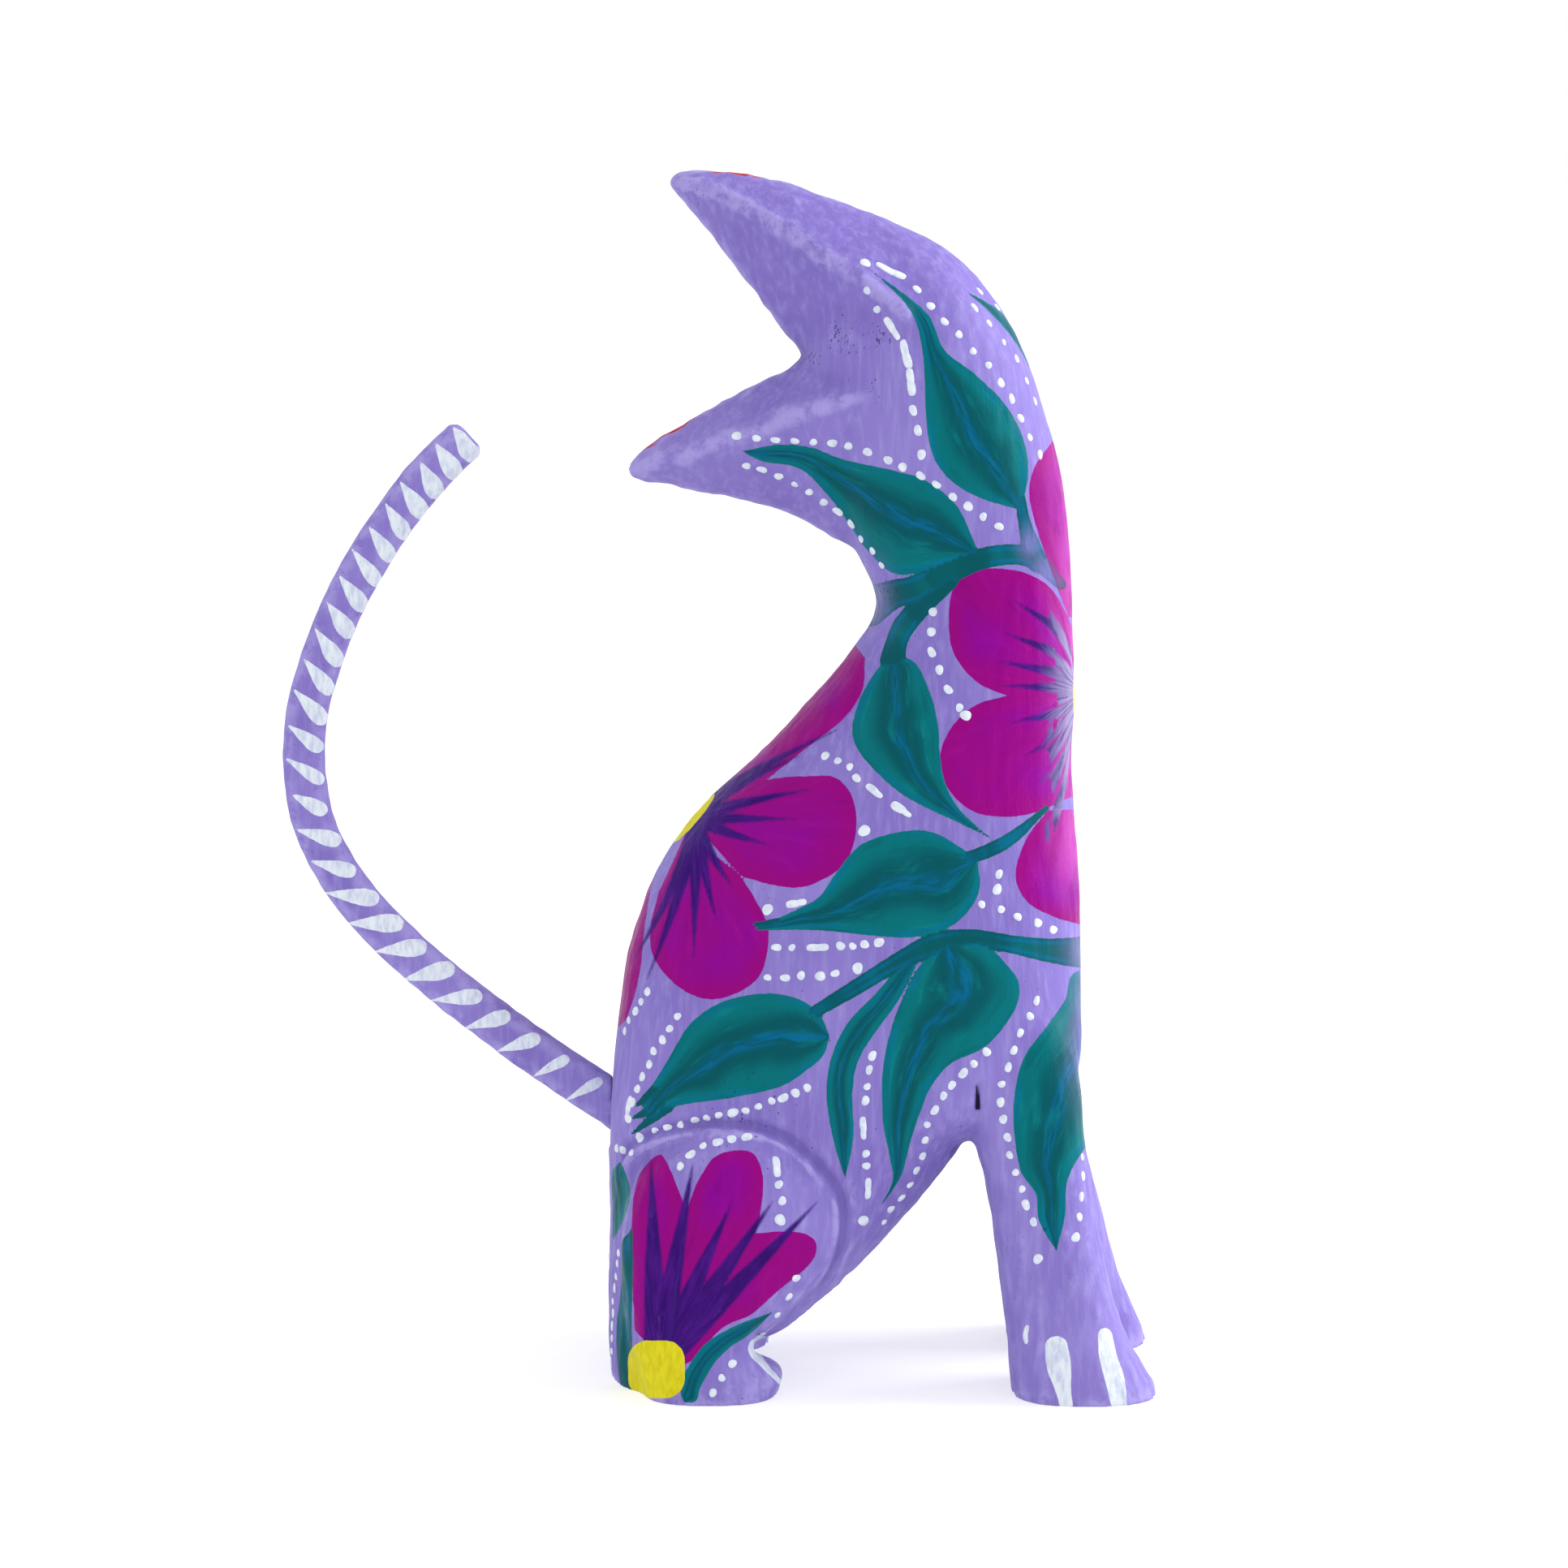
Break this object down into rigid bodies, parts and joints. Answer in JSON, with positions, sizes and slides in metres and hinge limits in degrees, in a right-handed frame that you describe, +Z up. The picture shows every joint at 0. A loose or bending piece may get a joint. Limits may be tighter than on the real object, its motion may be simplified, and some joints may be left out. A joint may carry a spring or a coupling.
{
  "type": "carved cat figure",
  "caption": "Seated cat carved and painted in the Oaxacan alebrije style, head bent back with ears to the rear, with a pull-off curved tail on a dowel.",
  "frame": {"origin": "centre of the whole figure's bounding box in plan, on the surface it stands on", "axes": "+X the way the chest faces, +Y the cat's left, the side its face is turned to, +Z up"},
  "size_m": [0.1458, 0.0568, 0.2004],
  "materials": {
    "painted_wood": "satin acrylic paint over sanded soft wood",
    "bare_wood": "unpainted, rubbed"
  },
  "bodies": {
    "figure": {"carved_body": "painted_wood"},
    "tail": {"tail": "painted_wood", "tail_peg": "bare_wood"}
  },
  "joints": [
    {"name": "tail_pull", "type": "slide", "parent": "figure", "child": "tail", "axis": [-0.829, 0, 0.5592], "range_m": [0, 0.014]}
  ]
}
